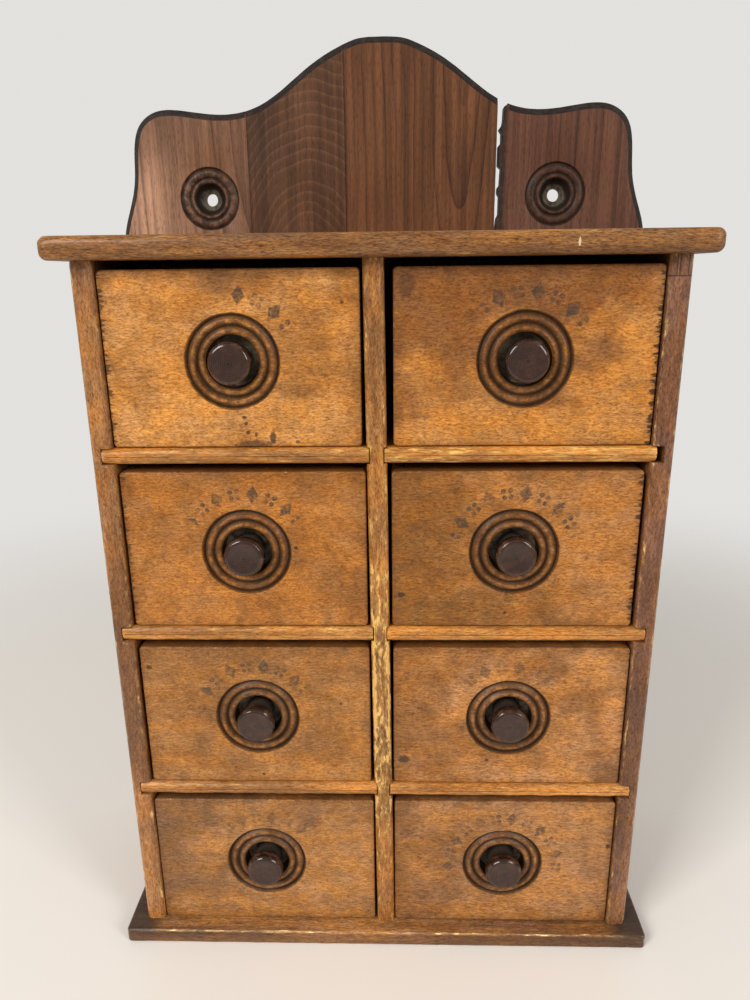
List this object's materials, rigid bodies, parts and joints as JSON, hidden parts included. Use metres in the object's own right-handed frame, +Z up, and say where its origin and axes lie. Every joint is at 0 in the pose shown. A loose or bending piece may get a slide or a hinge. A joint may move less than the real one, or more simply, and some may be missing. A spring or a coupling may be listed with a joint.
{
  "type": "spice drawer cabinet",
  "caption": "Small wooden hanging cabinet with two columns of little drawers, turned ring-and-knob fronts, overhanging boards and a shaped crest with hanging holes.",
  "frame": {"origin": "on the standing surface, under the middle of the cabinet's bounding box", "axes": "+X to the viewer's right, +Y from the drawers to the wall, +Z up"},
  "size_m": [0.268, 0.1124, 0.4433],
  "materials": {
    "side_wood": "aged maple, brown varnish, satin",
    "shelf_wood": "aged maple, varnish worn through to pale wood on the arrises, satin",
    "top_wood": "golden brown varnished maple, satin",
    "base_wood": "dark brown varnished maple, satin",
    "crest_wood": "oiled dark walnut with a near-black painted edge, satin",
    "drawer_front_wood": "honey varnished maple, satin",
    "drawer_box_wood": "bare pale wood, matt",
    "knob_wood": "turned wood, dark brown-black stain, semi-gloss",
    "nail_iron": "old iron, dull"
  },
  "bodies": {
    "case": {"left_side": "side_wood", "right_side": "side_wood", "centre_divider": "shelf_wood", "shelf_left_1": "shelf_wood", "shelf_right_1": "shelf_wood", "shelf_left_2": "shelf_wood", "shelf_right_2": "shelf_wood", "shelf_left_3": "shelf_wood", "shelf_right_3": "shelf_wood", "top_board": "top_wood", "base_board": "base_wood", "back_stave_1": "crest_wood", "back_stave_2": "crest_wood", "back_stave_3": "crest_wood", "back_stave_4": "crest_wood", "top_nails": "nail_iron", "base_nails": "nail_iron", "back_nails": "nail_iron"},
    "drawer_left_1": {"drawer_left_1_front": "drawer_front_wood", "drawer_left_1_sides": "drawer_box_wood", "drawer_left_1_back": "drawer_box_wood", "drawer_left_1_bottom": "drawer_box_wood", "drawer_left_1_knob": "knob_wood"},
    "drawer_right_1": {"drawer_right_1_front": "drawer_front_wood", "drawer_right_1_sides": "drawer_box_wood", "drawer_right_1_back": "drawer_box_wood", "drawer_right_1_bottom": "drawer_box_wood", "drawer_right_1_knob": "knob_wood"},
    "drawer_left_2": {"drawer_left_2_front": "drawer_front_wood", "drawer_left_2_sides": "drawer_box_wood", "drawer_left_2_back": "drawer_box_wood", "drawer_left_2_bottom": "drawer_box_wood", "drawer_left_2_knob": "knob_wood"},
    "drawer_right_2": {"drawer_right_2_front": "drawer_front_wood", "drawer_right_2_sides": "drawer_box_wood", "drawer_right_2_back": "drawer_box_wood", "drawer_right_2_bottom": "drawer_box_wood", "drawer_right_2_knob": "knob_wood"},
    "drawer_left_3": {"drawer_left_3_front": "drawer_front_wood", "drawer_left_3_sides": "drawer_box_wood", "drawer_left_3_back": "drawer_box_wood", "drawer_left_3_bottom": "drawer_box_wood", "drawer_left_3_knob": "knob_wood"},
    "drawer_right_3": {"drawer_right_3_front": "drawer_front_wood", "drawer_right_3_sides": "drawer_box_wood", "drawer_right_3_back": "drawer_box_wood", "drawer_right_3_bottom": "drawer_box_wood", "drawer_right_3_knob": "knob_wood"},
    "drawer_left_4": {"drawer_left_4_front": "drawer_front_wood", "drawer_left_4_sides": "drawer_box_wood", "drawer_left_4_back": "drawer_box_wood", "drawer_left_4_bottom": "drawer_box_wood", "drawer_left_4_knob": "knob_wood"},
    "drawer_right_4": {"drawer_right_4_front": "drawer_front_wood", "drawer_right_4_sides": "drawer_box_wood", "drawer_right_4_back": "drawer_box_wood", "drawer_right_4_bottom": "drawer_box_wood", "drawer_right_4_knob": "knob_wood"}
  },
  "joints": [
    {"name": "drawer_left_1_slide", "type": "slide", "parent": "case", "child": "drawer_left_1", "axis": [0, -1, 0], "range_m": [0, 0.08]},
    {"name": "drawer_right_1_slide", "type": "slide", "parent": "case", "child": "drawer_right_1", "axis": [0, -1, 0], "range_m": [0, 0.08]},
    {"name": "drawer_left_2_slide", "type": "slide", "parent": "case", "child": "drawer_left_2", "axis": [0, -1, 0], "range_m": [0, 0.08]},
    {"name": "drawer_right_2_slide", "type": "slide", "parent": "case", "child": "drawer_right_2", "axis": [0, -1, 0], "range_m": [0, 0.08]},
    {"name": "drawer_left_3_slide", "type": "slide", "parent": "case", "child": "drawer_left_3", "axis": [0, -1, 0], "range_m": [0, 0.08]},
    {"name": "drawer_right_3_slide", "type": "slide", "parent": "case", "child": "drawer_right_3", "axis": [0, -1, 0], "range_m": [0, 0.08]},
    {"name": "drawer_left_4_slide", "type": "slide", "parent": "case", "child": "drawer_left_4", "axis": [0, -1, 0], "range_m": [0, 0.08]},
    {"name": "drawer_right_4_slide", "type": "slide", "parent": "case", "child": "drawer_right_4", "axis": [0, -1, 0], "range_m": [0, 0.08]}
  ]
}
